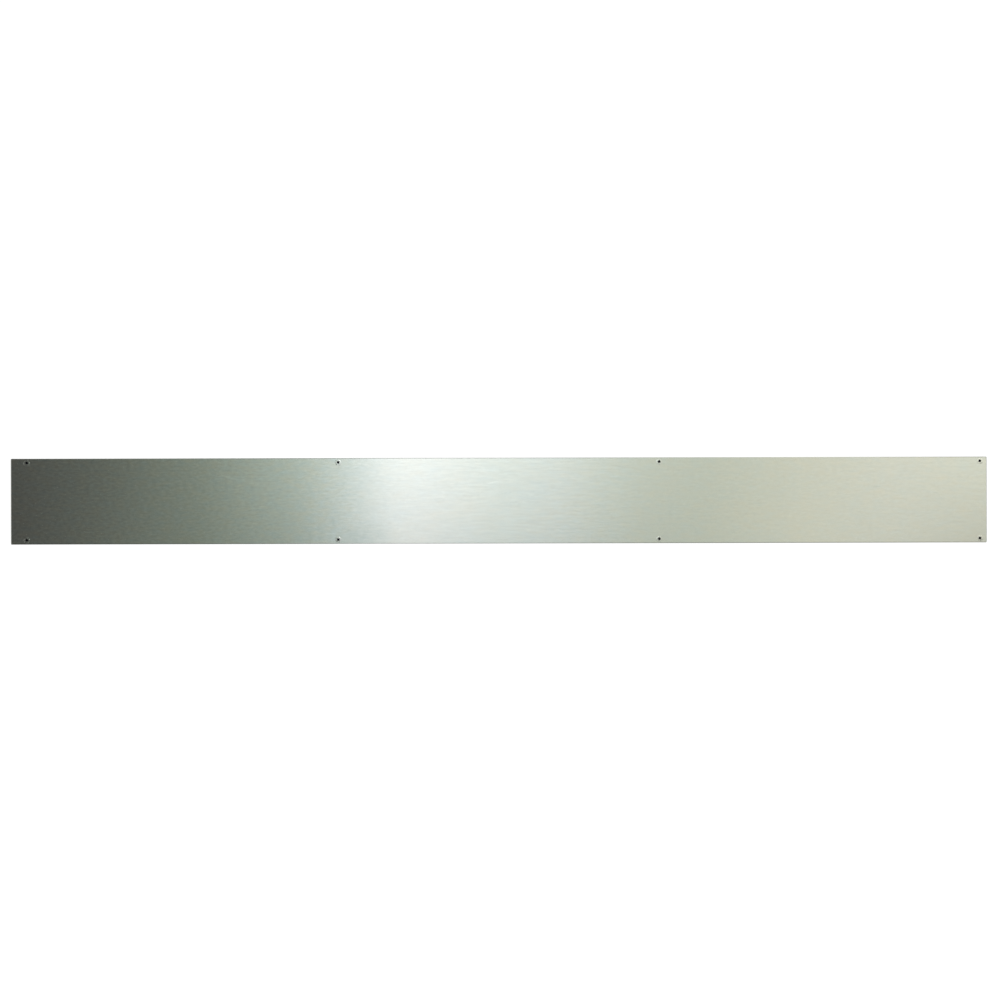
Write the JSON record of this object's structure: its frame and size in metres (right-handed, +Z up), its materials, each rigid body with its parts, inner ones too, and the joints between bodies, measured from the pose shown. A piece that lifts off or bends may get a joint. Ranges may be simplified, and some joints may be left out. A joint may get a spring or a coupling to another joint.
{
  "type": "kick plate",
  "caption": "Long satin stainless kick plate with bevelled edges, screwed flat to the foot of a door with flush countersunk cross-head screws to protect it from scuffs.",
  "frame": {"origin": "the middle of the back face, which lies flat on the door", "axes": "+X along the strip towards the end whose screws sit nearest the edge, seen on the right from the front; +Y into the door, along the screws; +Z up; the satin front faces -Y"},
  "size_m": [1.1556, 0.016, 0.1016],
  "materials": {
    "satin_stainless": "satin",
    "screw_stainless": "satin"
  },
  "bodies": {
    "root": {"plate_sheet": "satin_stainless", "screw_top_1": "screw_stainless", "screw_top_2": "screw_stainless", "screw_top_3": "screw_stainless", "screw_top_4": "screw_stainless", "screw_bottom_1": "screw_stainless", "screw_bottom_2": "screw_stainless", "screw_bottom_3": "screw_stainless", "screw_bottom_4": "screw_stainless"}
  },
  "joints": []
}
